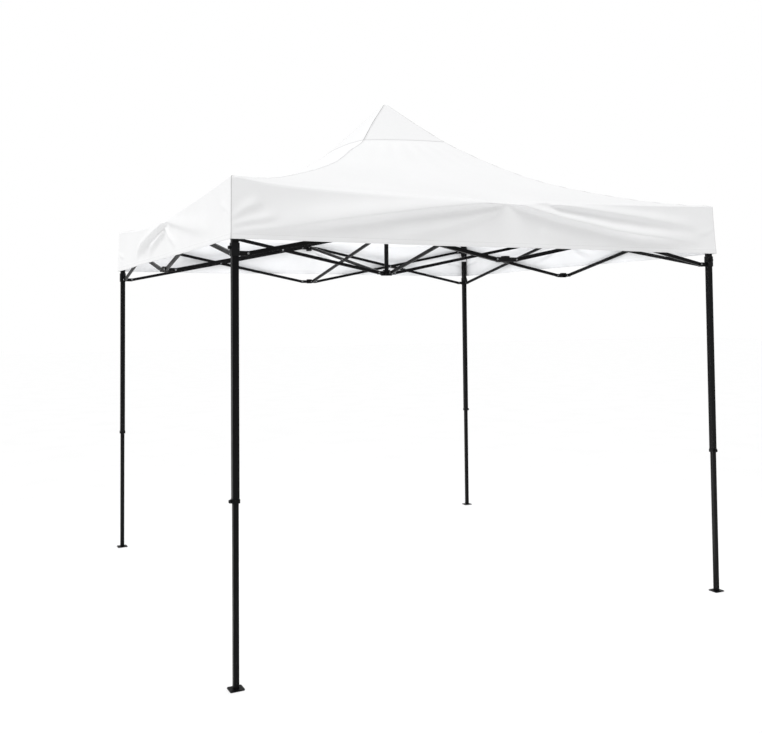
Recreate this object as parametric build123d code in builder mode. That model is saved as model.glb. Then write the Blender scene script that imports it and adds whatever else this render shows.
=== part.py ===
"""Pop-up canopy: a square fabric roof on a folding scissor-truss frame with four telescopic legs.

Millimetres, +Z up. The origin is on the ground at the centre of the square. The front is -Y.
Each piece is drawn once at the front side or the front left corner, and its copies are turned
about the centre to the right, back and left sides.
"""
from math import atan2, cos, degrees, hypot, radians, sin

from build123d import *
import os

os.makedirs("parts", exist_ok=True)

# ---- driving dimensions -------------------------------------------------------------------
leg_spacing = 2900          # between leg centres, on every side
upper_pivot_z = 2205        # pivots of the leg tops, upper middles and upper hub
lower_pivot_z = 1935        # pivots of the sliders, lower middles and lower hub
corner_reach = 62           # leg centre or hub centre to its bar pivots
middle_reach = 60           # middle bracket centre to its bar pivots

peak_z = 3070               # top of the roof
eave_z = 2283               # top edge of the valance
valance_bottom_z = 1998
eave_half = 1474            # centre to the outside of the valance
cloth = 1.0                 # cover thickness
seam_gap = 0.2              # between the sewn panels

bar_height = 20
bar_thickness = 12
bar_wall = 0.8
bar_shift = 7               # each bar of a crossing pair stands this far from the truss plane

outer_leg_width = 30
outer_leg_bottom_z = 817
outer_leg_top_z = 2228
inner_leg_width = 25
inner_leg_top_z = 1254
leg_wall = 1.0
collar_width = 36
collar_height = 18
hole_step = 260             # between the height holes of an inner leg
foot_width = 66
foot_thickness = 4
stake_hole_radius = 4.5
stake_hole_offset = 24.5    # from the leg centre, towards the outer corner

slider_width = 38
slider_height = 60
slider_below_pivot = 13
leg_clearance = 0.5         # between a leg and what slides on it

bolt_radius = 3
bolt_head_radius = 5.5
bolt_head_height = 3
running_fit = 0.08          # radial, at a working pivot
loose_fit = 0.3             # radial, at a pivot that closes a loop
ear_thickness = 4
ear_clearance = 0.5
ear_radius = 11

hub_radius = 24
hub_height = 44
hub_flange_radius = 38
hub_flange_height = 7
mast_radius = 14
mast_wall = 1.5
mast_top_z = 2760
inner_mast_radius = 11.5
inner_mast_bottom_z = 2330
cap_radius = 18
cap_centre_z = 3038
cap_skirt = 24              # straight part of the cap below its dome

knob_radius = 8
knob_length = 12
pin_radius = 3

SIDES = ("front", "right", "back", "left")
CORNERS = ("front_left", "front_right", "back_right", "back_left")

# ---- derived ------------------------------------------------------------------------------
half_span = leg_spacing / 2
bar_run = half_span - corner_reach - middle_reach
bar_rise = upper_pivot_z - lower_pivot_z
bar_length = hypot(bar_run, bar_rise)
lock_z = outer_leg_bottom_z + collar_height / 2
slider_bottom_z = lower_pivot_z - slider_below_pivot
slider_knob_z = slider_bottom_z + slider_height / 2 + 8


# ---- planes -------------------------------------------------------------------------------
def side_truss(turn):
    """Plane of one side's truss: x runs left to right seen from outside, y is up."""
    c, s = cos(radians(90 * turn)), sin(radians(90 * turn))
    return Plane(origin=(s * half_span, -c * half_span, 0), x_dir=(c, s, 0), z_dir=(s, -c, 0))


def spoke_truss(turn):
    """Plane of one spoke's truss: x runs outwards from the centre, y is up."""
    c, s = cos(radians(90 * turn)), sin(radians(90 * turn))
    return Plane(origin=(0, 0, 0), x_dir=(s, -c, 0), z_dir=(-c, -s, 0))


def save(piece, label):
    piece.label = label
    export_step(piece, f"parts/{label}.step")


def save_around(piece, names, label_end):
    """Write the front piece and its three copies turned about the centre."""
    for turn, name in enumerate(names):
        save(piece.rotate(Axis.Z, 90 * turn), f"{name}_{label_end}")


# ---- details added to the piece that is being built -----------------------------------------
def add_prism(plane, start, end, radius, mode=Mode.ADD):
    """Round prism along the plane's normal, between two offsets."""
    with BuildSketch(plane.offset(start)) as section:
        Circle(radius)
    extrude(section.sketch, amount=end - start, mode=mode)


def add_bolt(plane, near, far):
    """Bolt through two plates whose outer faces are at the offsets near and far."""
    gap = 0.05
    add_prism(plane, near - gap - bolt_head_height, near - gap, bolt_head_radius)
    add_prism(plane, near - gap, far + gap, bolt_radius)
    with BuildSketch(plane.offset(far + gap)) as nut:
        RegularPolygon(bolt_head_radius, 6)
    extrude(nut.sketch, amount=bolt_head_height)


def add_fork(truss, root, pivot, height, shift):
    """Two ears on a bracket, from root to pivot along the truss, with their cross bolt."""
    inside = bar_thickness / 2 + ear_clearance
    outside = inside + ear_thickness
    for start in (shift - outside, shift + inside):
        with BuildSketch(truss.offset(start)) as ear:
            with Locations(((root + pivot) / 2, height)):
                Rectangle(abs(pivot - root), 2 * ear_radius)
            with Locations((pivot, height)):
                Circle(ear_radius)
                Circle(bolt_radius + 0.05, mode=Mode.SUBTRACT)
        extrude(ear.sketch, amount=ear_thickness)
    centre = Plane(truss.from_local_coords((pivot, height, 0)), x_dir=truss.x_dir, z_dir=truss.z_dir)
    add_bolt(centre, shift - outside, shift + outside)


# ---- scissor bars ---------------------------------------------------------------------------
def make_bar(truss, start, end, shift, start_fit, end_fit, carries_bolt):
    """Rectangular tube bar between two pivots given as (along, height) in a truss plane.

    The bar that carries the crossing bolt also holds the spacer between the pair.
    """
    along = Vector(*truss.from_local_coords((end[0] - start[0], end[1] - start[1], 0)) - truss.origin)
    pivot = truss.from_local_coords((start[0], start[1], shift))
    bar_plane = Plane(origin=pivot, x_dir=along, z_dir=truss.z_dir)
    half = bar_thickness / 2
    with BuildPart() as bar:
        with BuildSketch(bar_plane.offset(-half)):
            with Locations((bar_length / 2, 0)):
                SlotCenterToCenter(bar_length, bar_height)
        extrude(amount=bar_thickness)
        with BuildSketch(bar_plane.offset(-half + bar_wall)):
            with Locations((bar_length / 2, 0)):
                Rectangle(bar_length + 2 * bar_height, bar_height - 2 * bar_wall)
        extrude(amount=bar_thickness - 2 * bar_wall, mode=Mode.SUBTRACT)
        middle = Plane(bar_plane.from_local_coords((bar_length / 2, 0, 0)), bar_plane.x_dir, bar_plane.z_dir)
        far_end = Plane(bar_plane.from_local_coords((bar_length, 0, 0)), bar_plane.x_dir, bar_plane.z_dir)
        for plane, fit in ((bar_plane, start_fit), (middle, running_fit), (far_end, end_fit)):
            add_prism(plane, -half, half, bolt_radius + fit, mode=Mode.SUBTRACT)
        if carries_bolt:
            away = -1 if shift > 0 else 1
            gap_start = away * half
            gap_end = away * (2 * bar_shift - half)
            far_face = away * (2 * bar_shift + half)
            add_bolt(middle, min(-gap_start, far_face), max(-gap_start, far_face))
            with BuildSketch(middle.offset(min(gap_start, gap_end) + 0.1)):
                Circle(bolt_head_radius)
                Circle(bolt_radius + 0.05, mode=Mode.SUBTRACT)
            extrude(amount=abs(gap_end - gap_start) - 0.2)
    return bar.part


middle_end = middle_reach
corner_end = half_span - corner_reach
for turn, side in enumerate(SIDES):
    truss = side_truss(turn)
    for sign, hand in ((-1, "left"), (1, "right")):
        top_fit = running_fit if hand == "left" else loose_fit
        top_bar = make_bar(truss, (sign * middle_end, lower_pivot_z), (sign * corner_end, upper_pivot_z),
                           bar_shift, running_fit, top_fit, carries_bolt=True)
        save(top_bar, f"{side}_bar_{hand}_top")
        slider_bar = make_bar(truss, (sign * middle_end, upper_pivot_z), (sign * corner_end, lower_pivot_z),
                              -bar_shift, loose_fit, top_fit, carries_bolt=False)
        save(slider_bar, f"{side}_bar_{hand}_slider")

    truss = spoke_truss(turn)
    inner, outer = corner_reach, half_span - middle_reach
    top_spoke = make_bar(truss, (inner, upper_pivot_z), (outer, lower_pivot_z),
                         bar_shift, running_fit, running_fit, carries_bolt=True)
    save(top_spoke, f"{side}_spoke_top")
    hub_fit = running_fit if side == "front" else loose_fit
    bottom_spoke = make_bar(truss, (inner, lower_pivot_z), (outer, upper_pivot_z),
                            -bar_shift, hub_fit, running_fit, carries_bolt=False)
    save(bottom_spoke, f"{side}_spoke_bottom")

# ---- middle brackets ------------------------------------------------------------------------
middle_block_width = 34
middle_block_depth = 37


def make_middle_bracket(pivot_z, shift, below, above):
    """Three-way bracket at the middle of a side: forks to the left, the right and inwards."""
    with BuildPart() as bracket:
        with BuildSketch(Plane.XY.offset(pivot_z - below)):
            with Locations((0, -half_span)):
                RectangleRounded(middle_block_width, middle_block_depth, 5)
        extrude(amount=below + above)
        add_fork(side_truss(0), -10, -middle_reach, pivot_z, shift)
        add_fork(side_truss(0), 10, middle_reach, pivot_z, shift)
        add_fork(spoke_truss(0), half_span - 10, half_span - middle_reach, pivot_z, shift)
    return bracket.part


save_around(make_middle_bracket(upper_pivot_z, -bar_shift, 22, 14), SIDES, "mid_bracket_upper")
save_around(make_middle_bracket(lower_pivot_z, bar_shift, 14, 18), SIDES, "mid_bracket_lower")

# ---- centre hubs and mast ---------------------------------------------------------------------
with BuildPart() as hub_upper:
    with BuildSketch(Plane.XY.offset(upper_pivot_z - hub_height / 2)):
        Circle(hub_radius)
        Circle(mast_radius + leg_clearance, mode=Mode.SUBTRACT)
    extrude(amount=hub_height)
    for turn in range(4):
        add_fork(spoke_truss(turn), hub_radius - 6, corner_reach, upper_pivot_z, bar_shift)
hub_upper.part.label = "hub_upper"
export_step(hub_upper.part, "parts/hub_upper.step")

hub_bottom_z = lower_pivot_z - 18
with BuildPart() as hub_lower:
    with BuildSketch(Plane.XY.offset(hub_bottom_z)):
        Circle(hub_flange_radius)
    extrude(amount=hub_flange_height)
    with BuildSketch(Plane.XY.offset(hub_bottom_z)):
        Circle(hub_radius)
    extrude(amount=hub_height - 6)
    with BuildSketch(Plane.XY.offset(hub_bottom_z + hub_flange_height)):
        Circle(mast_radius + 0.05)
    extrude(amount=hub_height, mode=Mode.SUBTRACT)
    for turn in range(4):
        add_fork(spoke_truss(turn), hub_radius - 6, corner_reach, lower_pivot_z, -bar_shift)
    with BuildSketch(Plane.XY.offset(hub_bottom_z + hub_flange_height + 0.05)):
        Circle(mast_radius)
        Circle(mast_radius - mast_wall, mode=Mode.SUBTRACT)
    extrude(amount=mast_top_z - hub_bottom_z - hub_flange_height)
hub_lower.part.label = "hub_lower_with_mast"
export_step(hub_lower.part, "parts/hub_lower_with_mast.step")

with BuildPart() as mast_inner:
    with BuildSketch(Plane.XY.offset(inner_mast_bottom_z)):
        Circle(inner_mast_radius)
        Circle(inner_mast_radius - mast_wall, mode=Mode.SUBTRACT)
    extrude(amount=cap_centre_z - inner_mast_bottom_z)
    with Locations((0, 0, cap_centre_z)):
        Sphere(cap_radius)
    with BuildSketch(Plane.XY.offset(cap_centre_z - cap_skirt)):
        Circle(cap_radius)
    extrude(amount=cap_skirt)
mast_inner.part.label = "mast_inner_with_cap"
export_step(mast_inner.part, "parts/mast_inner_with_cap.step")

# ---- legs at the front left corner ------------------------------------------------------------
leg_centre = (-half_span, -half_span)
with BuildPart() as leg_outer:
    with BuildSketch(Plane.XY.offset(outer_leg_bottom_z)):
        with Locations(leg_centre):
            Rectangle(outer_leg_width, outer_leg_width)
            Rectangle(outer_leg_width - 2 * leg_wall, outer_leg_width - 2 * leg_wall, mode=Mode.SUBTRACT)
    extrude(amount=outer_leg_top_z - outer_leg_bottom_z)
    fillet(leg_outer.edges().filter_by(Axis.Z).group_by(SortBy.DISTANCE)[-1], 2)
    # the collar is a separate moulding round the tube's lower end
    with BuildSketch(Plane.XY.offset(outer_leg_bottom_z)):
        with Locations(leg_centre):
            RectangleRounded(collar_width, collar_width, 4)
            Rectangle(outer_leg_width + 0.1, outer_leg_width + 0.1, mode=Mode.SUBTRACT)
    extrude(amount=collar_height)
    lock_face = Plane(origin=(-half_span, -half_span, lock_z), x_dir=(0, -1, 0), z_dir=(-1, 0, 0))
    add_prism(lock_face, inner_leg_width / 2, collar_width, pin_radius + running_fit, mode=Mode.SUBTRACT)
save_around(leg_outer.part, CORNERS, "leg_outer")

with BuildPart() as leg_inner:
    with BuildSketch(Plane.XY.offset(foot_thickness)):
        with Locations(leg_centre):
            RectangleRounded(inner_leg_width, inner_leg_width, 2)
            Rectangle(inner_leg_width - 2 * leg_wall, inner_leg_width - 2 * leg_wall, mode=Mode.SUBTRACT)
    extrude(amount=inner_leg_top_z - foot_thickness)
    with BuildSketch():
        with Locations(leg_centre):
            RectangleRounded(foot_width, foot_width, 8)
        with Locations((-half_span - stake_hole_offset, -half_span - stake_hole_offset)):
            Circle(stake_hole_radius, mode=Mode.SUBTRACT)
    extrude(amount=foot_thickness)
    for step in range(4):
        height_plane = Plane(origin=(-half_span, -half_span, lock_z - step * hole_step), z_dir=(-1, 0, 0))
        add_prism(height_plane, 0, inner_leg_width, pin_radius + loose_fit, mode=Mode.SUBTRACT)
save_around(leg_inner.part, CORNERS, "leg_inner")

top_block_bottom_z = 2176
top_block_top_z = 2262
with BuildPart() as leg_top:
    with BuildSketch(Plane.XY.offset(top_block_bottom_z)):
        with Locations(leg_centre):
            RectangleRounded(slider_width, slider_width, 4)
    extrude(amount=top_block_top_z - top_block_bottom_z)
    fillet(leg_top.faces().sort_by(Axis.Z)[-1].edges(), 3)
    with BuildSketch(Plane.XY.offset(top_block_bottom_z)):
        with Locations(leg_centre):
            Rectangle(outer_leg_width, outer_leg_width)
    extrude(amount=outer_leg_top_z - top_block_bottom_z, mode=Mode.SUBTRACT)
    ear_root = outer_leg_width / 2 + 1
    add_fork(side_truss(0), -half_span + ear_root, -corner_end, upper_pivot_z, bar_shift)
    add_fork(side_truss(3), half_span - ear_root, corner_end, upper_pivot_z, bar_shift)
save_around(leg_top.part, CORNERS, "leg_top_bracket")

# ---- slider at the front left corner ----------------------------------------------------------
slider_plane = Plane(origin=(-half_span, -half_span, slider_knob_z), x_dir=(0, -1, 0), z_dir=(-1, 0, 0))
with BuildPart() as slider:
    with BuildSketch(Plane.XY.offset(slider_bottom_z)):
        with Locations(leg_centre):
            RectangleRounded(slider_width, slider_width, 4)
    extrude(amount=slider_height)
    bore_width = outer_leg_width + 2 * leg_clearance
    add_fork(side_truss(0), -half_span + ear_root, -corner_end, lower_pivot_z, -bar_shift)
    add_fork(side_truss(3), half_span - ear_root, corner_end, lower_pivot_z, -bar_shift)
    with BuildSketch(Plane.XY.offset(slider_bottom_z)):
        with Locations(leg_centre):
            Rectangle(bore_width, bore_width)
    extrude(amount=slider_height, mode=Mode.SUBTRACT)
    add_prism(slider_plane, outer_leg_width / 2, slider_width, pin_radius + running_fit, mode=Mode.SUBTRACT)
save_around(slider.part, CORNERS, "slider")


def make_pull_knob(plane, face, tip):
    """Spring pin with a round grip. The grip starts at the housing face and the pin ends at tip."""
    with BuildPart() as knob:
        add_prism(plane, tip, face + 1, pin_radius)
        add_prism(plane, face + 0.2, face + knob_length, knob_radius)
        fillet(knob.faces().sort_by(Axis.X)[0].edges(), 2)
        add_prism(plane, face + 3, face + 5, knob_radius + 1.5)
    return knob.part


slider_tip = outer_leg_width / 2 + leg_clearance
save_around(make_pull_knob(slider_plane, slider_width / 2, slider_tip), CORNERS, "slider_knob")
lock_tip = inner_leg_width / 2 + leg_clearance
save_around(make_pull_knob(lock_face, collar_width / 2, lock_tip), CORNERS, "leg_lock_knob")

# ---- roof cover -------------------------------------------------------------------------------
profile_steps = 6
straight_share = 0.22       # part of the rise that is straight; the rest is a hanging curve
curve_power = 2.4


def roof_height(reach):
    """Top of the cloth at a distance from the centre, measured square to the eave."""
    t = 1 - reach / eave_half
    return eave_z + (peak_z - eave_z) * (straight_share * t + (1 - straight_share) * t ** curve_power)


reaches = [eave_half * step / profile_steps for step in range(profile_steps + 1)]
cloth_top = [(reach, roof_height(reach)) for reach in reaches]
cloth_bottom = [(reach, roof_height(reach) - cloth) for reach in reversed(reaches)]
cover_panels = []
for turn in range(4):
    outward = spoke_truss(turn)
    with BuildPart() as gore:
        with BuildSketch(outward):
            with BuildLine():
                Spline(*cloth_top)
                Line(cloth_top[-1], cloth_bottom[0])
                Spline(*cloth_bottom)
                Line(cloth_bottom[-1], cloth_top[0])
            make_face()
        extrude(amount=eave_half, both=True)
        gore_plan = Plane(origin=outward.x_dir * seam_gap, x_dir=outward.x_dir, z_dir=(0, 0, 1))
        with BuildSketch(gore_plan):
            Polygon((0, 0), (2 * eave_half, -2 * eave_half), (2 * eave_half, 2 * eave_half), align=None)
        extrude(amount=2 * peak_z, mode=Mode.INTERSECT)
    cover_panels.append(gore.part)

    with BuildPart() as valance:
        with BuildSketch(Plane(side_truss(turn).origin, side_truss(turn).x_dir, (0, 0, 1)).offset(valance_bottom_z)):
            with Locations((cloth / 2 + seam_gap, half_span - eave_half + cloth / 2)):
                Rectangle(2 * eave_half - cloth - 2 * seam_gap, cloth)
        extrude(amount=eave_z - cloth - seam_gap - valance_bottom_z)
    cover_panels.append(valance.part)
roof_cover = Compound(label="roof_cover", children=cover_panels)
export_step(roof_cover, "parts/roof_cover.step")

print("bar length", round(bar_length, 2), "angle at rest", round(degrees(atan2(bar_rise, bar_run)), 3))
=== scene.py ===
"""Looks for the pop up canopy: sewn white cloth, black powder coated frame, moulded fittings."""

import math

import bmesh
import bpy
import numpy as np
from mathutils import Matrix, Vector


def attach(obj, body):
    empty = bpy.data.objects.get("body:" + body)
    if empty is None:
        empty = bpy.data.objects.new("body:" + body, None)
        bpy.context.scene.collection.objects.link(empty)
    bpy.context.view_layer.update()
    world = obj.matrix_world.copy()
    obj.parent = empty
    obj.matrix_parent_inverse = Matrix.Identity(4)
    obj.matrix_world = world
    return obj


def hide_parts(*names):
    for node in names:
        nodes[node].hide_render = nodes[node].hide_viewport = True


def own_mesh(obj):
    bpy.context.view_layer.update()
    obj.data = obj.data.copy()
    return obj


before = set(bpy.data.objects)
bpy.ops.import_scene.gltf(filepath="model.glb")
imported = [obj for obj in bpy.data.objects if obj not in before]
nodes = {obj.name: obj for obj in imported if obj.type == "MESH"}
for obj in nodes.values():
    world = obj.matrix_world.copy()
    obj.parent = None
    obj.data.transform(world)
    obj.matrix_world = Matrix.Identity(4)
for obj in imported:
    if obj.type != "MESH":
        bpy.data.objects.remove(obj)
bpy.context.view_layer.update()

SIDES = ("front", "right", "back", "left")
CORNERS = ("front_left", "front_right", "back_right", "back_left")

# ---------------------------------------------------------------- sizes, in metres
HALF = 1.4735           # centre of the canopy to the outer face of its valance
PEAK = 3.0780           # where the hips would meet above the blunt peak
EAVE = 2.283            # height of the eave at the four corners
HEM = 1.998             # lower edge of the valance
TIP_ROUND = 0.011       # how blunt the peak is
CAP_SEAM = 0.29         # the doubled panel round the peak ends here
CLOTH = 0.0008          # thickness of one layer
HEM_DEPTH = 0.026       # turned-up hem
SEAM_HALF = 0.009       # half width of the sewn hip seam


# ---------------------------------------------------------------- node helpers
class Nodes:
    """A short way to write a material's node tree."""

    def __init__(self, name):
        self.material = bpy.data.materials.new(name)
        self.material.use_nodes = True
        self.tree = self.material.node_tree
        self.shader = self.tree.nodes["Principled BSDF"]

    def add(self, kind, **values):
        node = self.tree.nodes.new(kind)
        for key, value in values.items():
            setattr(node, key, value)
        return node

    def link(self, source, target):
        if isinstance(source, (int, float)):
            target.default_value = source
        else:
            self.tree.links.new(source, target)

    def math(self, operation, a, b=None):
        node = self.add("ShaderNodeMath", operation=operation)
        for socket, value in zip(node.inputs, (a, b)):
            if value is not None:
                self.link(value, socket)
        return node.outputs[0]

    def attribute(self, name):
        return self.add("ShaderNodeAttribute", attribute_name=name).outputs["Fac"]

    def noise(self, vector, scale, detail=3.0, rough=0.5):
        node = self.add("ShaderNodeTexNoise")
        node.inputs["Scale"].default_value = scale
        node.inputs["Detail"].default_value = detail
        node.inputs["Roughness"].default_value = rough
        self.link(vector, node.inputs["Vector"])
        return node.outputs["Fac"]

    def spread(self, value, low, high, to_low, to_high, smooth=False):
        node = self.add("ShaderNodeMapRange")
        if smooth:
            node.interpolation_type = "SMOOTHSTEP"
        for key, number in zip((1, 2, 3, 4), (low, high, to_low, to_high)):
            node.inputs[key].default_value = number
        self.link(value, node.inputs[0])
        return node.outputs[0]

    def mix(self, factor, dark, light):
        node = self.add("ShaderNodeMix", data_type="RGBA")
        self.link(factor, node.inputs[0])
        for socket, colour in ((node.inputs[6], dark), (node.inputs[7], light)):
            if isinstance(colour, tuple):
                socket.default_value = (*colour, 1.0)
            else:
                self.link(colour, socket)
        return node.outputs[2]

    def bump(self, height, strength, distance, normal=None):
        node = self.add("ShaderNodeBump")
        node.inputs["Strength"].default_value = strength
        node.inputs["Distance"].default_value = distance
        self.link(height, node.inputs["Height"])
        if normal is not None:
            self.link(normal, node.inputs["Normal"])
        return node.outputs[0]

    def set(self, **values):
        for key, value in values.items():
            socket = self.shader.inputs[key.replace("_", " ")]
            if isinstance(value, tuple):
                socket.default_value = (*value, 1.0) if len(value) == 3 else value
            elif isinstance(value, (int, float)):
                socket.default_value = value
            else:
                self.tree.links.new(value, socket)


THREAD_PITCH = 0.0011       # repeat of the plain weave
HEM_STITCHES = (0.0215, 0.0035)     # stitch lines, as distances from the edge or seam
HIP_STITCHES = (0.0075, 0.0022)
CAP_STITCHES = (0.004, 0.0105)
EAVE_STITCH = 0.009


def stitches(m, distance, along, at, pitch=0.0042, width=0.0007):
    """1 on the thread of a stitch line that runs at one distance from an edge."""
    off = m.math("ABSOLUTE", m.math("SUBTRACT", distance, at))
    line = m.spread(off, width * 0.6, width * 1.3, 1.0, 0.0, smooth=True)
    step = m.math("FRACT", m.math("DIVIDE", along, pitch))
    dash = m.spread(m.math("ABSOLUTE", m.math("SUBTRACT", step, 0.5)), 0.28, 0.36, 1.0, 0.0)
    return m.math("MULTIPLY", line, dash)


def cloth_material(name, tint, rough, shine, bump_weave):
    """Woven polyester: plain weave, faint mottling, stitch lines along every seam and hem, with painted
    shade on the peak panel, along the hip and cap seams and in the stitch holes.
    """
    m = Nodes(name)
    uv = m.add("ShaderNodeUVMap", uv_map="UVMap").outputs[0]
    split = m.add("ShaderNodeSeparateXYZ")
    m.link(uv, split.inputs[0])
    across, down = split.outputs[0], split.outputs[1]
    place = m.add("ShaderNodeNewGeometry").outputs["Position"]
    thread = 2 * math.pi / THREAD_PITCH
    warp = m.math("SINE", m.math("MULTIPLY", across, thread))
    weft = m.math("SINE", m.math("MULTIPLY", down, thread))
    weave = m.math("MULTIPLY", warp, weft)
    slub = m.noise(uv, 900.0, 2.0)
    weave = m.math("ADD", weave, m.math("MULTIPLY", slub, 1.2))

    hem, hip = m.attribute("hem_distance"), m.attribute("hip_distance")
    cap, eave = m.attribute("cap_distance"), m.attribute("eave_distance")
    lines = stitches(m, hem, across, HEM_STITCHES[0])
    for more in (
        stitches(m, hem, across, HEM_STITCHES[1]),
        stitches(m, hip, down, HIP_STITCHES[0]),
        stitches(m, hip, down, HIP_STITCHES[1]),
        stitches(m, cap, across, CAP_STITCHES[0]),
        stitches(m, cap, across, CAP_STITCHES[1]),
        m.math("MULTIPLY", stitches(m, eave, across, EAVE_STITCH), 0.5),
    ):
        lines = m.math("MAXIMUM", lines, more)
    pucker = m.noise(uv, 140.0, 2.0)
    near_seam = m.spread(hip, 0.0, 0.022, 1.0, 0.0, smooth=True)
    near_hem = m.spread(hem, 0.02, 0.04, 1.0, 0.0, smooth=True)
    puckers = m.math("MULTIPLY", pucker, m.math("MAXIMUM", near_seam, near_hem))

    cloud = m.spread(m.noise(place, 1.6, 4.0), 0.3, 0.7, 0.0, 1.0)
    deep = tuple(c * 0.972 for c in tint)
    base = m.mix(cloud, deep, tint)
    fine = m.spread(m.noise(uv, 60.0, 3.0), 0.35, 0.65, 0.0, 1.0)
    base = m.mix(m.math("MULTIPLY", fine, 0.10), base, tuple(c * 0.93 for c in tint))
    # painted shade: the peak panel inside the cap seam is drawn about 4% darker than the rest of the cloth
    peak_panel_shade = m.spread(cap, -0.001, 0.001, 0.0, 1.0)
    base = m.mix(peak_panel_shade, base, tuple(c * 0.962 for c in tint))
    # painted shade: thin dark bands along the hip seams and the cap seam, standing in for the shadow in
    # the seam's gap
    hip_seam_shade = m.spread(hip, 0.0012, 0.0032, 0.8, 0.0)
    cap_seam_shade = m.spread(m.math("ABSOLUTE", cap), 0.0008, 0.0030, 0.45, 0.0)
    base = m.mix(m.math("MAXIMUM", hip_seam_shade, cap_seam_shade), base, tuple(c * 0.40 for c in tint))
    # painted shade: the stitch lines are drawn darker, standing in for the shadow in their needle holes
    base = m.mix(m.math("MULTIPLY", lines, 0.55), base, tuple(c * 0.62 for c in tint))
    height = m.math("ADD", m.math("MULTIPLY", weave, 0.5), m.math("MULTIPLY", lines, -2.5))
    normal = m.bump(height, bump_weave, 0.00012)
    normal = m.bump(puckers, 0.35, 0.0016, normal)
    normal = m.bump(m.noise(uv, 7.0, 3.0), 0.22, 0.004, normal)
    m.set(
        Base_Color=base,
        Roughness=m.spread(m.noise(uv, 35.0, 2.0), 0.3, 0.7, rough - 0.05, rough + 0.05),
        Sheen_Weight=shine,
        Sheen_Roughness=0.5,
        Specular_IOR_Level=0.28,
        Normal=normal,
    )
    return m.material


def coated_metal(name, colour, rough, wear=0.35, streaks=False):
    """Black powder coat: fine orange peel, dusty patches, thin bright wear on the edges."""
    m = Nodes(name)
    geometry = m.add("ShaderNodeNewGeometry")
    place = geometry.outputs["Position"]
    peel = m.noise(place, 950.0, 2.0)
    patches = m.spread(m.noise(place, 9.0, 5.0, 0.6), 0.35, 0.75, 0.0, 1.0)
    rounded = m.add("ShaderNodeBevel", samples=4)
    rounded.inputs["Radius"].default_value = 0.0012
    dot = m.add("ShaderNodeVectorMath", operation="DOT_PRODUCT")
    m.link(rounded.outputs[0], dot.inputs[0])
    m.link(geometry.outputs["Normal"], dot.inputs[1])
    edge = m.spread(dot.outputs["Value"], 0.86, 0.985, 1.0, 0.0)
    flakes = m.spread(m.noise(place, 70.0, 4.0, 0.65), 0.5, 0.66, 0.0, wear)
    chipped = m.math("MULTIPLY", edge, flakes)
    dusty = tuple(c * 1.6 + 0.0014 for c in colour)
    base = m.mix(m.math("MULTIPLY", patches, 0.5), colour, dusty)
    if streaks:
        stretch = m.add("ShaderNodeMapping")
        stretch.inputs["Scale"].default_value = (260.0, 260.0, 2.2)
        m.link(place, stretch.inputs[0])
        rub = m.spread(m.noise(stretch.outputs[0], 1.0, 3.0, 0.6), 0.56, 0.74, 0.0, 0.55)
        base = m.mix(rub, base, (0.016, 0.016, 0.017))
    base = m.mix(chipped, base, (0.07, 0.07, 0.073))
    m.set(
        Base_Color=base,
        Roughness=m.spread(patches, 0.0, 1.0, rough, rough + 0.12),
        Specular_IOR_Level=0.10,
        Normal=m.bump(peel, 0.10, 0.0002, rounded.outputs[0]),
    )
    return m.material


def moulded_plastic(name, colour, rough, grain):
    """Glass filled nylon: a matt spark-eroded grain with smoother rubbed edges."""
    m = Nodes(name)
    geometry = m.add("ShaderNodeNewGeometry")
    place = geometry.outputs["Position"]
    pits = m.noise(place, grain, 4.0, 0.7)
    flow = m.spread(m.noise(place, 22.0, 4.0, 0.55), 0.35, 0.7, 0.0, 1.0)
    rounded = m.add("ShaderNodeBevel", samples=4)
    rounded.inputs["Radius"].default_value = 0.0016
    dot = m.add("ShaderNodeVectorMath", operation="DOT_PRODUCT")
    m.link(rounded.outputs[0], dot.inputs[0])
    m.link(geometry.outputs["Normal"], dot.inputs[1])
    edge = m.spread(dot.outputs["Value"], 0.85, 0.98, 1.0, 0.0)
    base = m.mix(m.math("MULTIPLY", flow, 0.6), colour, tuple(c * 1.7 for c in colour))
    base = m.mix(m.math("MULTIPLY", edge, 0.25), base, tuple(c * 3.0 for c in colour))
    m.set(
        Base_Color=base,
        Roughness=m.spread(flow, 0.0, 1.0, rough, rough + 0.14),
        Specular_IOR_Level=0.14,
        Normal=m.bump(pits, 0.22, 0.0003, rounded.outputs[0]),
    )
    return m.material


def zinc(name):
    """Bright zinc plated screws."""
    m = Nodes(name)
    place = m.add("ShaderNodeNewGeometry").outputs["Position"]
    spots = m.noise(place, 420.0, 3.0, 0.6)
    tone = m.spread(spots, 0.3, 0.7, 0.0, 1.0)
    m.set(
        Base_Color=m.mix(tone, (0.20, 0.205, 0.21), (0.36, 0.365, 0.37)),
        Metallic=1.0,
        Roughness=m.spread(spots, 0.3, 0.7, 0.28, 0.46),
        Normal=m.bump(spots, 0.1, 0.0002),
    )
    return m.material


def webbing(name, colour):
    """Ribbed polyester tape with a fuzzy loop face."""
    m = Nodes(name)
    uv = m.add("ShaderNodeUVMap", uv_map="UVMap").outputs[0]
    split = m.add("ShaderNodeSeparateXYZ")
    m.link(uv, split.inputs[0])
    ribs = m.math("SINE", m.math("MULTIPLY", split.outputs[1], 2 * math.pi / 0.0018))
    diagonal = m.math("ADD", split.outputs[0], split.outputs[1])
    twill = m.math("SINE", m.math("MULTIPLY", diagonal, 3000.0))
    fuzz = m.noise(uv, 1500.0, 3.0, 0.7)
    tone = m.spread(m.math("ADD", m.math("MULTIPLY", ribs, 0.3), fuzz), 0.1, 1.0, 0.0, 1.0)
    m.set(
        Base_Color=m.mix(tone, tuple(c * 0.7 for c in colour), tuple(c * 1.4 for c in colour)),
        Roughness=0.85,
        Sheen_Weight=0.25,
        Normal=m.bump(m.math("ADD", ribs, m.math("MULTIPLY", twill, 0.4)), 0.4, 0.0003),
    )
    return m.material


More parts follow.
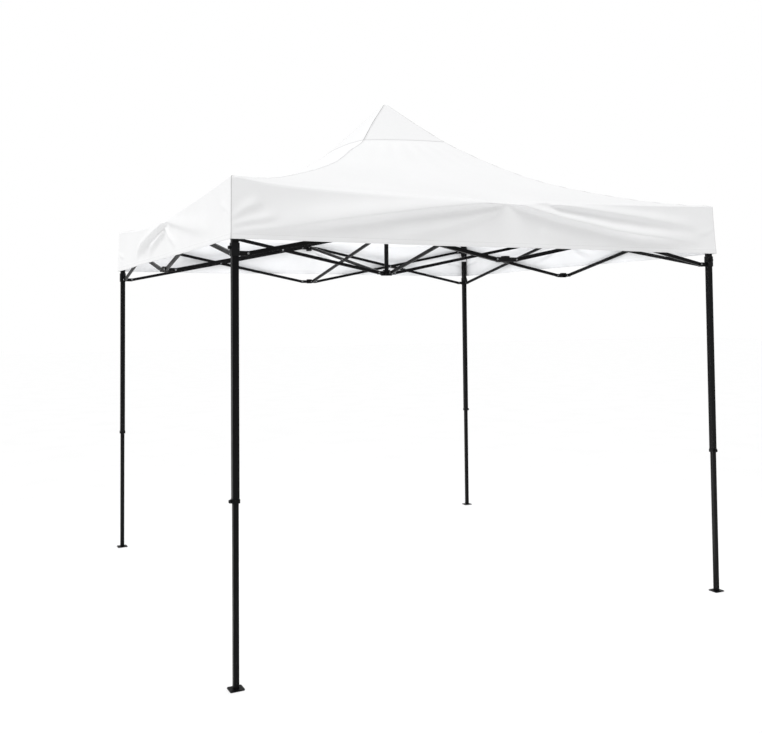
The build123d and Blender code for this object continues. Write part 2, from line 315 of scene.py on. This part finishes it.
OUTSIDE = cloth_material("cloth_outside", (0.862, 0.864, 0.868), 0.74, 0.12, 0.35)
INSIDE = cloth_material("cloth_coated_inside", (0.845, 0.85, 0.86), 0.5, 0.0, 0.2)
TUBE = coated_metal("black_powder_coat", (0.0022, 0.0022, 0.0025), 0.36)
INNER_TUBE = coated_metal("black_powder_coat_rubbed", (0.0024, 0.0024, 0.0027), 0.38, streaks=True)
NYLON = moulded_plastic("black_nylon", (0.0028, 0.0028, 0.0031), 0.46, 700.0)
KNOB = moulded_plastic("black_knob_plastic", (0.006, 0.006, 0.0065), 0.34, 1200.0)
ZINC = zinc("zinc_screws")
TAPE = webbing("white_webbing", (0.62, 0.625, 0.63))


# ---------------------------------------------------------------- CAD nodes get their finishes
def islands(mesh):
    """The index of the separate solid that each face belongs to, and each solid's size."""
    count = len(mesh.vertices)
    points = np.empty(count * 3)
    mesh.vertices.foreach_get("co", points)
    points = points.reshape(-1, 3)
    _, same = np.unique(np.round(points, 5), axis=0, return_inverse=True)
    same = same.ravel()
    label = np.arange(same.max() + 1)
    loops = np.empty(len(mesh.loops), dtype=int)
    mesh.loops.foreach_get("vertex_index", loops)
    starts = np.array([p.loop_start for p in mesh.polygons])
    sizes = np.array([p.loop_total for p in mesh.polygons])
    owner = np.repeat(np.arange(len(starts)), sizes)
    corner = same[loops]
    changed = True
    while changed:
        lowest = np.full(len(starts), len(label))
        np.minimum.at(lowest, owner, label[corner])
        after = label.copy()
        np.minimum.at(after, corner, lowest[owner])
        after = after[after]
        changed = bool((after != label).any())
        label = after
    faces = label[corner[starts]]
    extent = {}
    for key in np.unique(faces):
        inside = points[label[same] == key]
        extent[key] = inside.max(axis=0) - inside.min(axis=0)
    return faces, extent


BOLT_LENGTH = 0.075         # a solid smaller than this, and thinner than the next, is a bolt
BOLT_WIDTH = 0.0125


def finish_node(node, material):
    """Give a node its finish, and its separate small bolts theirs."""
    mesh = node.data
    mesh.materials.clear()
    mesh.materials.append(material)
    mesh.materials.append(ZINC)
    faces, extent = islands(mesh)
    small = {
        key for key, size in extent.items()
        if max(size) < BOLT_LENGTH and sorted(size)[1] < BOLT_WIDTH
    }
    index = [1 if key in small and len(extent) > 1 else 0 for key in faces]
    mesh.polygons.foreach_set("material_index", index)
    mesh.update()


for name, node in nodes.items():
    if name == "roof_cover":
        continue
    if name.endswith("knob"):
        finish_node(node, KNOB)
    elif "bar_" in name or "spoke" in name or "leg_outer" in name or "mast" in name:
        finish_node(node, TUBE)
    elif "leg_inner" in name:
        finish_node(node, INNER_TUBE)
    else:
        finish_node(node, NYLON)


# ---------------------------------------------------------------- shape of the cloth
def bell(x, centre, width):
    return np.exp(-(((x - centre) / width) ** 2))


def ease(x):
    x = np.clip(x, 0.0, 1.0)
    return x * x * (3 - 2 * x)


def slope_profile(r):
    """Height of a taut roof at distance r from the centre: steep at the peak, flat at the eave."""
    t = np.clip(1 - np.sqrt(r * r + TIP_ROUND**2) / HALF, 0, 1)
    return EAVE + (PEAK - EAVE) * (0.22 * t + 0.78 * t**2.4)


def hip_sag(corner, r):
    """How each hip differs from the taut roof: it breaks at the edge of the peak panel."""
    if corner == 0:
        return -0.038 * bell(r, 0.31, 0.10) - 0.018 * bell(r, 0.56, 0.16) + 0.006 * bell(r, 0.97, 0.15)
    if corner == 1:
        return 0.009 * bell(r, 1.0, 0.22) - 0.004 * bell(r, 0.3, 0.08)
    if corner == 2:
        return -0.016 * bell(r, 0.34, 0.11) + 0.005 * bell(r, 0.9, 0.2)
    return -0.024 * bell(r, 0.32, 0.12) - 0.008 * bell(r, 0.62, 0.18)


def eave_dip(side, u):
    """How far the eave hangs below its corners; u goes from -1 to 1, left to right."""
    a = np.abs(u)
    if side == 0:
        power = np.where(u < 0, 5.0, 1.5)
        return 0.037 * (1 - a**power) + 0.012 * bell(u, 0.0, 0.13)
    if side == 3:
        return 0.057 * (1 - np.abs(u + 0.06 * (1 - u * u)) ** 2.0) - 0.005 * bell(u, 0.0, 0.06)
    if side == 1:
        return 0.040 * (1 - a**2.2) + 0.010 * bell(u, 0.0, 0.12)
    return 0.044 * (1 - a**2.8) + 0.008 * bell(u, 0.0, 0.14)


def edge_softness(side, u):
    """Radius of the bend at the eave: slack cloth rolls over it, taut cloth creases."""
    if side == 0:
        slack = 0.016 * ease((-u - 0.02) / 0.25) * (1 - ease((-u - 0.86) / 0.12))
    elif side == 3:
        slack = 0.010 * bell(u, -0.1, 0.45) * (1 - 0.8 * bell(u, 0.0, 0.06))
    else:
        slack = 0.007 * bell(u, 0.35 if side == 1 else -0.4, 0.35)
    corner = 0.009 * ease((np.abs(u) - 0.975) / 0.02)
    return 0.004 + slack + corner


# Each fold: its line from the pinch outwards as (along the side, height), how far it stands out,
# and how wide its upper and lower flanks are.
FOLDS = {
    0: [
        ([(-0.015, 2.237), (-0.22, 2.212), (-0.46, 2.183), (-0.79, 2.134), (-1.15, 2.077), (-1.42, 2.036)],
         0.0310, 0.060, 0.022),
        ([(-0.06, 2.190), (-0.20, 2.140), (-0.34, 2.096), (-0.57, 2.052), (-0.79, 2.020)],
         0.0120, 0.050, 0.032),
        ([(0.0, 2.237), (0.15, 2.205), (0.34, 2.165), (0.55, 2.134), (0.69, 2.111), (0.90, 2.090),
          (1.40, 2.064)],
         0.0320, 0.036, 0.019),
        ([(0.28, 2.240), (0.62, 2.214), (0.90, 2.192), (1.21, 2.163), (1.42, 2.141)],
         0.0180, 0.030, 0.020),
        ([(0.00, 2.2285), (0.09, 2.231), (0.20, 2.238)], 0.0095, 0.012, 0.007),
        ([(0.22, 2.085), (0.40, 2.030)], 0.0050, 0.040, 0.030),
        ([(-1.466, 2.098), (-1.40, 2.146), (-1.32, 2.176)], 0.0110, 0.024, 0.018),
        ([(-1.466, 2.062), (-1.38, 2.084), (-1.24, 2.112)], 0.0090, 0.022, 0.017),
        ([(-1.466, 2.028), (-1.36, 2.044), (-1.20, 2.058)], 0.0068, 0.020, 0.017),
        ([(1.466, 2.150), (1.40, 2.120), (1.30, 2.106)], 0.0040, 0.020, 0.014),
    ],
    3: [
        ([(0.16, 2.196), (-0.06, 2.176), (-0.36, 2.142), (-0.66, 2.090), (-0.82, 2.040)],
         0.0310, 0.040, 0.024),
        ([(0.10, 2.150), (-0.12, 2.110), (-0.40, 2.060)], 0.0160, 0.026, 0.022),
        ([(0.20, 2.200), (0.45, 2.160), (0.80, 2.110), (1.20, 2.070)], 0.0110, 0.050, 0.028),
        ([(0.12, 2.180), (0.22, 2.110), (0.44, 2.045)], 0.0080, 0.022, 0.020),
        ([(1.462, 2.110), (1.38, 2.150), (1.28, 2.180)], 0.0040, 0.018, 0.014),
        ([(-1.462, 2.130), (-1.36, 2.100), (-1.22, 2.088)], 0.0080, 0.016, 0.012),
    ],
    1: [
        ([(0.03, 2.226), (0.30, 2.196), (0.70, 2.140), (1.10, 2.085)], 0.0230, 0.048, 0.024),
        ([(-0.03, 2.226), (-0.26, 2.190), (-0.62, 2.130), (-1.10, 2.070)], 0.0190, 0.040, 0.022),
        ([(-0.02, 2.190), (-0.14, 2.120), (-0.34, 2.050)], 0.0120, 0.026, 0.022),
        ([(0.06, 2.170), (0.24, 2.100), (0.50, 2.045)], 0.0130, 0.028, 0.022),
        ([(-1.462, 2.140), (-1.38, 2.110), (-1.24, 2.094)], 0.0070, 0.016, 0.012),
        ([(1.462, 2.080), (1.38, 2.104), (1.25, 2.124)], 0.0070, 0.016, 0.012),
    ],
    2: [
        ([(0.04, 2.224), (0.34, 2.190), (0.80, 2.124), (1.20, 2.060)], 0.0200, 0.050, 0.026),
        ([(-0.03, 2.226), (-0.34, 2.184), (-0.76, 2.116), (-1.16, 2.076)], 0.0260, 0.044, 0.024),
        ([(-0.08, 2.170), (-0.28, 2.096), (-0.52, 2.040)], 0.0140, 0.028, 0.022),
        ([(-1.462, 2.075), (-1.38, 2.104), (-1.26, 2.120)], 0.0080, 0.016, 0.012),
        ([(1.462, 2.120), (1.37, 2.150), (1.27, 2.170)], 0.0080, 0.016, 0.012),
    ],
}


def ridge(s, z, line, height, above, below):
    """A soft fold along a line: steeper below than above, fading towards its far end."""
    best = np.full(s.shape, 9.0)
    side = np.zeros(s.shape)
    share = np.zeros(s.shape)
    lengths = [math.dist(a, b) for a, b in zip(line, line[1:])]
    total, done = sum(lengths), 0.0
    for (x0, z0), (x1, z1), length in zip(line, line[1:], lengths):
        dx, dz = (x1 - x0) / length, (z1 - z0) / length
        t = np.clip((s - x0) * dx + (z - z0) * dz, 0.0, length)
        ex, ez = s - (x0 + t * dx), z - (z0 + t * dz)
        gap = np.hypot(ex, ez)
        nearer = gap < best
        best = np.where(nearer, gap, best)
        side = np.where(nearer, ez, side)
        share = np.where(nearer, (done + t) / total, share)
        done += length
    width = np.where(side > 0, above, below) * (0.55 + 0.9 * share)
    fade = ease(share / 0.05 + 0.45) * (1 - ease((share - 0.6) / 0.4)) ** 0.7
    return height * fade * np.exp(-((best / width) ** 2))


def valance_bulge(side, s, z, drop):
    """How far the valance stands out from its flat plane."""
    out = np.zeros(s.shape)
    for line, height, above, below in FOLDS[side]:
        out += ridge(s, z, line, height, above, below)
    low = np.clip(drop / (EAVE - HEM), 0, 1)
    window = 1 - np.abs(s / HALF) ** 12
    waves = 0.0035 + 0.0035 * np.sin(5.3 * s + 1.7 * side) + 0.0018 * np.sin(13.0 * s + side)
    out += window * low**2 * waves
    out += window * 0.0009 * np.sin(31.0 * s + 9.0 * z + side) * ease(low * 3)
    return np.clip(out, -0.002, 0.045) * ease(drop / 0.014)


CORNER_FLARE = (0.002, 0.011, 0.006, 0.008)     # how far each corner of the hem stands out


def flare(side, u, drop):
    """The valance corners hang a little open towards the hem."""
    low = np.clip(drop / (EAVE - HEM), 0, 1) ** 1.3
    left, right = CORNER_FLARE[side], CORNER_FLARE[(side + 1) % 4]
    return low * (left * ease((-u - 0.72) / 0.28) + right * ease((u - 0.72) / 0.28))


def roof_height(side, s, r):
    """Height of the roof at s along the side and r outwards from the centre."""
    u = np.clip(s / np.maximum(r, 1e-6), -1, 1)
    z = slope_profile(r)
    z = z + hip_sag(side, r) * ((1 - u) / 2) ** 2 + hip_sag((side + 1) % 4, r) * ((1 + u) / 2) ** 2
    z = z + 0.011 * (1 - u * u) * bell(r, 0.78, 0.36) - 0.006 * (1 - u * u) * bell(r, 0.30, 0.05)
    near = (r / HALF) ** 6
    z = z - eave_dip(side, u) * near
    drop = {0: 0.003, 3: 0.010 * bell(u, -0.1, 0.42)}.get(side, 0.004)
    z = z - drop * (1 - u**4) * np.exp(-(HALF - r) / 0.005)
    hip = np.minimum(HALF * (1 - np.abs(u)), 0.9)
    z = z + 0.0011 * np.sin(62 * r + 3 * side + 2.0 * np.sign(u)) * np.exp(-hip / 0.05) * ease(r / 0.2)
    pull = ease((r - 0.9) / 0.5) * (1 - near)
    z = z + 0.004 * pull * np.sin(9 * u + side) * (1 - u * u) ** 2
    below_cap = ease((r - CAP_SEAM) / 0.1) * np.exp(-(r - CAP_SEAM) / 0.25)
    z = z + 0.0016 * np.sin(23 * u + 5 * side) * below_cap * (1 - u * u)
    return z


def side_surface(side):
    """The outer face of one side of the canopy as a grid: rows run from the peak to the hem,
    columns from the left hip to the right one."""
    across = np.linspace(0, 1, 150)
    near_hip = (1.0, 0.78, 0.70, 0.35, 0.0)     # shares of the strip beside the hip seam
    rows = [("roof", r) for r in np.linspace(0.0, HALF - 0.03, 98)[1:-1]]
    rows += [("roof", CAP_SEAM + e) for e in (-0.0045, -0.0012, 0.0008, 0.0045)]
    rows = sorted(rows, key=lambda row: row[1])
    rows += [("edge", q) for q in np.linspace(-0.03, 0.03, 19)]
    rows += [("drop", f) for f in np.linspace(0.0, 1.0, 46)[1:]]
    rows += [("hem", h) for h in (HEM_DEPTH + 0.0012, HEM_DEPTH, 0.02, 0.013, 0.006, 0.0015, 0.0)]
    grid, data = [], []
    for kind, value in rows:
        r_row = value if kind == "roof" else min(HALF, HALF + value) if kind == "edge" else HALF
        strip = min(0.012, 0.3 * r_row)
        half = np.concatenate([across[:-1] * (r_row - strip), r_row - strip * np.array(near_hip)])
        s = np.concatenate([-half[:0:-1], half])
        u = s / r_row
        hip = r_row - np.abs(s)
        if kind == "roof":
            r, z = np.full(s.shape, r_row), roof_height(side, s, np.full(s.shape, r_row))
            drop = np.zeros(s.shape)
        else:
            full = s if r_row == HALF else s / r_row * HALF
            top = roof_height(side, full, np.full(s.shape, HALF))
            if kind == "edge":
                rho = edge_softness(side, full / HALF)
                inner_r = HALF - rho
                a_s, a_z = full * inner_r / HALF, roof_height(side, full * inner_r / HALF, inner_r)
                t = np.clip((value + rho) / (2 * rho), 0, 1)
                w0, w1, w2 = (1 - t) ** 2, 2 * t * (1 - t), t * t
                r = w0 * inner_r + w1 * HALF + w2 * HALF
                z = w0 * a_z + w1 * top + w2 * (top - rho)
                s_in = w0 * a_s + (w1 + w2) * full
                before = value < -rho
                after = value > rho
                r_flat = np.full(s.shape, min(HALF, HALF + value))
                z = np.where(before, roof_height(side, full * r_flat / HALF, r_flat), z)
                r = np.where(before, r_flat, r)
                s_in = np.where(before, full * r_flat / HALF, s_in)
                z = np.where(after, top - value, z)
                r = np.where(after, HALF, r)
                s = np.where(after, full, s_in)
                drop = np.maximum(top - z, 0) * (r > HALF - 0.004)
            elif kind == "drop":
                depth = top - HEM - HEM_DEPTH - 0.004
                z = top - 0.03 - (depth - 0.03) * value
                r, drop = np.full(s.shape, HALF), top - z
            else:
                z = np.full(s.shape, HEM + value)
                z = z + (0.002 * np.sin(3.1 * s + side) - 0.0015) * (1 - np.abs(s / HALF) ** 6)
                r, drop = np.full(s.shape, HALF), top - z
            r = r + valance_bulge(side, s, z, drop) * (1 - np.abs(s / HALF) ** 16)
            round_off = 0.0028 * np.exp(-((hip / 0.006) ** 2)) * ease(drop / 0.01)
            opened = flare(side, s / HALF, drop)
            r = r - round_off + opened
            s = np.sign(s) * (np.abs(s) - round_off + opened)
        grid.append(np.stack([s, -r, z], axis=-1))
        raised = 0.0008 * ease((SEAM_HALF + 0.0004 - hip) / 0.0008)
        thick = np.full(s.shape, CLOTH) + raised
        if kind == "roof":
            under = 0.0009 * (r_row < CAP_SEAM)
            raised = raised + under - 0.0012 * bell(r_row, CAP_SEAM + 0.0008, 0.002)
            thick = thick + under
        if kind == "hem":
            fold = 0.0008 * (value <= HEM_DEPTH)
            raised = raised + fold - 0.0007 * bell(value, 0.0215, 0.002) - 0.0004 * bell(value, 0.0, 0.001)
            thick = thick + 0.0012 * (value <= HEM_DEPTH)
        hem = z - HEM if kind in ("drop", "hem") else np.full(s.shape, 1.0)
        eave = drop if kind != "roof" else np.full(s.shape, -1.0)
        cap = (CAP_SEAM - r_row) * 1.4 if kind == "roof" else -1.0
        data.append((raised, thick, hem, hip, np.full(s.shape, cap), eave))
    grid = np.array(grid)
    raised, thick, hem, hip, cap, eave = (np.array(column) for column in zip(*data))
    return grid, raised, thick, {
        "hem_distance": hem, "hip_distance": hip, "cap_distance": cap, "eave_distance": eave,
    }


def grid_normals(grid):
    """Outward normals of a grid whose rows run down and whose columns run to the right."""
    down = np.gradient(grid, axis=0)
    right = np.gradient(grid, axis=1)
    normal = np.cross(down, right)
    length = np.linalg.norm(normal, axis=-1, keepdims=True)
    return normal / np.maximum(length, 1e-12)


def cloth_piece(name, side, columns):
    """One half of a side, from the peak to the hem, as a closed thin sheet."""
    grid, normals, smooth, thick, facts = surfaces[side]
    outer, shade = grid[:, columns], smooth[:, columns]
    inner = outer - normals[:, columns] * thick[:, columns][..., None]
    rows, wide = outer.shape[:2]
    turn = np.array(Matrix.Rotation(math.pi / 2 * side, 3, "Z"))
    tip = np.array([[0.0, 0.0, float(slope_profile(np.array(0.0)))]])
    under_tip = tip - np.array([[0, 0, CLOTH * 2.2]])
    count = rows * wide
    points = np.concatenate([outer.reshape(-1, 3), tip, inner.reshape(-1, 3), under_tip])
    points = points @ turn.T
    shading = np.concatenate([shade.reshape(-1, 3), [[0, 0, 1]], -shade.reshape(-1, 3), [[0, 0, -1]]])
    shading = shading @ turn.T
    index = np.arange(count).reshape(rows, wide)
    a, b, c, d = index[:-1, :-1], index[1:, :-1], index[1:, 1:], index[:-1, 1:]
    quads = np.stack([a, b, c, d], axis=-1).reshape(-1, 4)
    offset = count + 1
    faces = quads.tolist()
    faces += [[count, index[0, j], index[0, j + 1]] for j in range(wide - 1)]
    outside_faces = len(faces)
    faces += (quads[:, ::-1] + offset).tolist()
    faces += [
        [count + offset, index[0, j + 1] + offset, index[0, j] + offset] for j in range(wide - 1)
    ]
    inside_faces = len(faces)
    border = [count] + index[:, 0].tolist() + index[-1, 1:].tolist() + index[::-1, -1][1:].tolist()
    for p, q in zip(border, border[1:] + border[:1]):
        faces.append([q, p, p + offset, q + offset])
    mesh = bpy.data.meshes.new(name)
    mesh.from_pydata(points.tolist(), [], [[int(v) for v in face] for face in faces])
    mesh.materials.append(OUTSIDE)
    mesh.materials.append(INSIDE)
    kinds = [0] * outside_faces + [1] * (inside_faces - outside_faces) + [0] * (len(faces) - inside_faces)
    mesh.polygons.foreach_set("material_index", kinds)
    mesh.polygons.foreach_set("use_smooth", [True] * len(faces))
    # texture coordinates in metres: along the side, and down the cloth from the peak
    step = np.linalg.norm(np.diff(grid[:, columns], axis=0), axis=-1)
    down = np.concatenate([np.zeros((1, wide)), np.cumsum(step, axis=0)])
    mean_down = down.mean(axis=1, keepdims=True) + 0 * down
    uv = np.stack([outer[..., 0], mean_down], axis=-1).reshape(-1, 2)
    uv = np.concatenate([uv, [[0.0, -0.01]]])
    uv = np.concatenate([uv, uv])
    loops = np.empty(len(mesh.loops), dtype=int)
    mesh.loops.foreach_get("vertex_index", loops)
    layer = mesh.uv_layers.new(name="UVMap")
    layer.data.foreach_set("uv", uv[loops].ravel())
    for key, value in facts.items():
        flat = value[:, columns].ravel()
        flat = np.concatenate([flat, [flat[0]]])
        attribute = mesh.attributes.new(key, "FLOAT", "POINT")
        attribute.data.foreach_set("value", np.concatenate([flat, flat]))
    mesh.update()
    middle_face = outside_faces // 2
    face_normal = Vector(mesh.polygons[middle_face].normal)
    if face_normal.dot(Vector(shading[int(quads[middle_face][0])])) < 0:
        mesh.flip_normals()
    mesh.normals_split_custom_set_from_vertices(shading.tolist())
    piece = bpy.data.objects.new(name, mesh)
    bpy.context.scene.collection.objects.link(piece)
    return piece


surfaces = {}
for side in range(4):
    grid, raised, thick, facts = side_surface(side)
    normals = grid_normals(grid)
    grid = grid + normals * raised[..., None]
    surfaces[side] = (grid, normals, grid_normals(grid), thick, facts)

# When the frame folds, each half side follows its own top bar. A gather direction is worked out for each
# piece below but not used.
GATHER_NORMAL = (0.271, 0.765, 0.585)

canopy = []
for side in range(4):
    wide = surfaces[side][0].shape[1]
    middle = wide // 2
    halves = (("left", slice(0, middle + 1), 1), ("right", slice(middle, wide), -1))
    for half, columns, mirror in halves:
        piece = cloth_piece(f"canopy_{SIDES[side]}_{half}", side, columns)
        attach(piece, f"{SIDES[side]}_{half}_top_bar")
        normal = Vector((GATHER_NORMAL[0] * mirror, *GATHER_NORMAL[1:]))
        normal = Matrix.Rotation(math.pi / 2 * side, 3, "Z") @ normal.normalized()
        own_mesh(piece)
        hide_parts("roof_cover")
        corner = CORNERS[side] if half == "left" else CORNERS[(side + 1) % 4]
        canopy.append(piece)

# ---------------------------------------------------------------- corner straps
STRAP_LOW, STRAP_HIGH = 2.124, 2.150    # hook and loop strap just under the leg top bracket
LEG_HALF = 0.0152                       # outer leg, half its width
LEG_AT = 1.45                           # centre line of the legs
STRAP_THICK = 0.0015


def strap_path(steps=7):
    """The strap's line round a square leg, and on past its start where the two ends overlap."""
    bend, gap = 0.004, 0.0006
    half = LEG_HALF + gap
    line = []
    for corner, (sx, sy) in enumerate(((1, 1), (-1, 1), (-1, -1), (1, -1))):
        for i in range(steps):
            angle = math.pi / 2 * (corner + i / (steps - 1))
            x = sx * (half - bend) + bend * math.cos(angle)
            y = sy * (half - bend) + bend * math.sin(angle)
            line.append((x, y))
    # the loose end lies on top of the first one
    line += [(half + 0.0010, -0.006), (half + 0.0019, 0.002)]
    line += [(half + 0.0019, 0.009), (half + 0.0023, 0.016)]
    return line


def ribbon(name, line, low, high, thickness, rows=9):
    """Webbing on its edge along a line, a little thinner along its two edges."""
    shape = bmesh.new()
    uv = shape.loops.layers.uv.new("UVMap")
    levels = [i / (rows - 1) for i in range(rows)]
    rings, travelled = [], 0.0
    for index, (x, y) in enumerate(line):
        ahead = line[min(index + 1, len(line) - 1)]
        behind = line[max(index - 1, 0)]
        out = Vector((ahead[1] - behind[1], behind[0] - ahead[0])).normalized()
        if index:
            travelled += math.dist(line[index - 1], (x, y))
        ring = []
        for share in levels:
            edge = 0.0002 if share in (0.0, 1.0) else 0.0
            outer = thickness - edge
            height = low + (high - low) * share
            ring.append((shape.verts.new((x + out.x * outer, y + out.y * outer, height)), share))
        for share in reversed(levels):
            ring.append((shape.verts.new((x, y, low + (high - low) * share)), share))
        rings.append((ring, travelled))
    for (first, at), (second, to) in zip(rings, rings[1:]):
        for i in range(len(first)):
            j = (i + 1) % len(first)
            face = shape.faces.new((first[i][0], second[i][0], second[j][0], first[j][0]))
            face.smooth = True
            along = (at, to, to, at)
            shares = (first[i][1], second[i][1], second[j][1], first[j][1])
            for loop, u, v in zip(face.loops, along, shares):
                loop[uv].uv = (u, v * (high - low))
    for ring, _ in (rings[0], rings[-1]):
        shape.faces.new([vertex for vertex, _ in ring])
    bmesh.ops.recalc_face_normals(shape, faces=shape.faces[:])
    mesh = bpy.data.meshes.new(name)
    shape.to_mesh(mesh)
    shape.free()
    mesh.materials.append(TAPE)
    piece = bpy.data.objects.new(name, mesh)
    bpy.context.scene.collection.objects.link(piece)
    return piece


straps = []
for number, corner in enumerate(CORNERS):
    strap = ribbon(f"strap_{corner}", strap_path(), STRAP_LOW, STRAP_HIGH, STRAP_THICK)
    turn = Matrix.Rotation(math.pi / 2 * number, 4, "Z")
    strap.data.transform(turn @ Matrix.Translation((-LEG_AT, -LEG_AT, 0.0)))
    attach(strap, f"{corner}_leg")
    straps.append(strap)

# ---------------------------------------------------------------- camera, light, floor
CAMERA_AT = (-2.6075, -5.4606, 1.6360)
KEY_TOWARDS = (0.487, 0.214, -0.847)    # the way the key light shines
KEY_ENERGY, KEY_ANGLE = 1.89, 0.5
SKY_STRENGTH = 0.62                     # the camera sees a plain white backdrop instead
FILL_ENERGY, FILL_SIZE = 43.0, 2.4      # light from the pale ground under the canopy
FLOOR_HALF = 45.0
YAW, PITCH, ROLL = math.radians(27.865), math.radians(2.265), math.radians(-0.632)
forward = Vector((math.sin(YAW) * math.cos(PITCH), math.cos(YAW) * math.cos(PITCH), math.sin(PITCH)))
level = Vector((math.cos(YAW), -math.sin(YAW), 0.0))
above = level.cross(forward)
right_axis = level * math.cos(ROLL) + above * math.sin(ROLL)
up_axis = above * math.cos(ROLL) - level * math.sin(ROLL)
camera = bpy.data.objects.new("camera", bpy.data.cameras.new("camera"))
bpy.context.scene.collection.objects.link(camera)
pose = Matrix((right_axis, up_axis, -forward)).transposed().to_4x4()
pose.translation = Vector(CAMERA_AT)
camera.matrix_world = pose
camera.data.sensor_width = 36.0
camera.data.lens = 42.88
camera.data.shift_x = -0.0560
camera.data.shift_y = -0.1116
camera.data.clip_end = 300.0
bpy.context.scene.camera = camera
bpy.context.scene.view_settings.view_transform = "Standard"

world = bpy.data.worlds.new("studio")
world.use_nodes = True
bpy.context.scene.world = world
tree = world.node_tree
sky = tree.nodes["Background"]
sky.inputs["Color"].default_value = (1.0, 1.0, 1.0, 1.0)
sky.inputs["Strength"].default_value = SKY_STRENGTH
backdrop = tree.nodes.new("ShaderNodeBackground")
backdrop.inputs["Color"].default_value = (1.0, 1.0, 1.0, 1.0)
backdrop.inputs["Strength"].default_value = 1.0
choose = tree.nodes.new("ShaderNodeMixShader")
seen = tree.nodes.new("ShaderNodeLightPath")
tree.links.new(seen.outputs["Is Camera Ray"], choose.inputs[0])
tree.links.new(sky.outputs[0], choose.inputs[1])
tree.links.new(backdrop.outputs[0], choose.inputs[2])
tree.links.new(choose.outputs[0], tree.nodes["World Output"].inputs["Surface"])


def sun(name, shadows, lit):
    """The key light. The floor gets its own, without shadows, so that it stays pale."""
    light = bpy.data.lights.new(name, "SUN")
    light.energy = KEY_ENERGY
    light.angle = KEY_ANGLE
    light.use_shadow = shadows
    light.cycles.cast_shadow = shadows
    holder = bpy.data.objects.new(name, light)
    holder.rotation_mode = "QUATERNION"
    holder.rotation_quaternion = Vector(KEY_TOWARDS).to_track_quat("-Z", "Y")
    bpy.context.scene.collection.objects.link(holder)
    group = bpy.data.collections.new(name + "_lights")
    for item in lit:
        group.objects.link(item)
    holder.light_linking.receiver_collection = group


fill_light = bpy.data.lights.new("fill", "AREA")
fill_light.size = FILL_SIZE
fill_light.energy = FILL_ENERGY
fill = bpy.data.objects.new("fill", fill_light)
fill.location = (0.0, 0.0, 0.05)
fill.rotation_euler = (math.pi, 0.0, 0.0)
fill.visible_camera = False
bpy.context.scene.collection.objects.link(fill)

floor_mesh = bpy.data.meshes.new("floor")
shape = bmesh.new()
bmesh.ops.create_grid(shape, x_segments=8, y_segments=8, size=FLOOR_HALF)
shape.to_mesh(floor_mesh)
shape.free()
floor = bpy.data.objects.new("floor", floor_mesh)
floor.location.z = -0.0005
bpy.context.scene.collection.objects.link(floor)
ground = Nodes("pale_floor")
where = ground.add("ShaderNodeNewGeometry").outputs["Position"]
mottle = ground.spread(ground.noise(where, 2.0, 4.0), 0.3, 0.7, 0.0, 1.0)
ground.set(
    Base_Color=ground.mix(mottle, (0.885, 0.885, 0.885), (0.905, 0.905, 0.905)),
    Roughness=0.9,
    Specular_IOR_Level=0.1,
)
floor_mesh.materials.append(ground.material)
sun("key", True, [*nodes.values(), *canopy, *straps])
sun("key_floor", False, [floor])
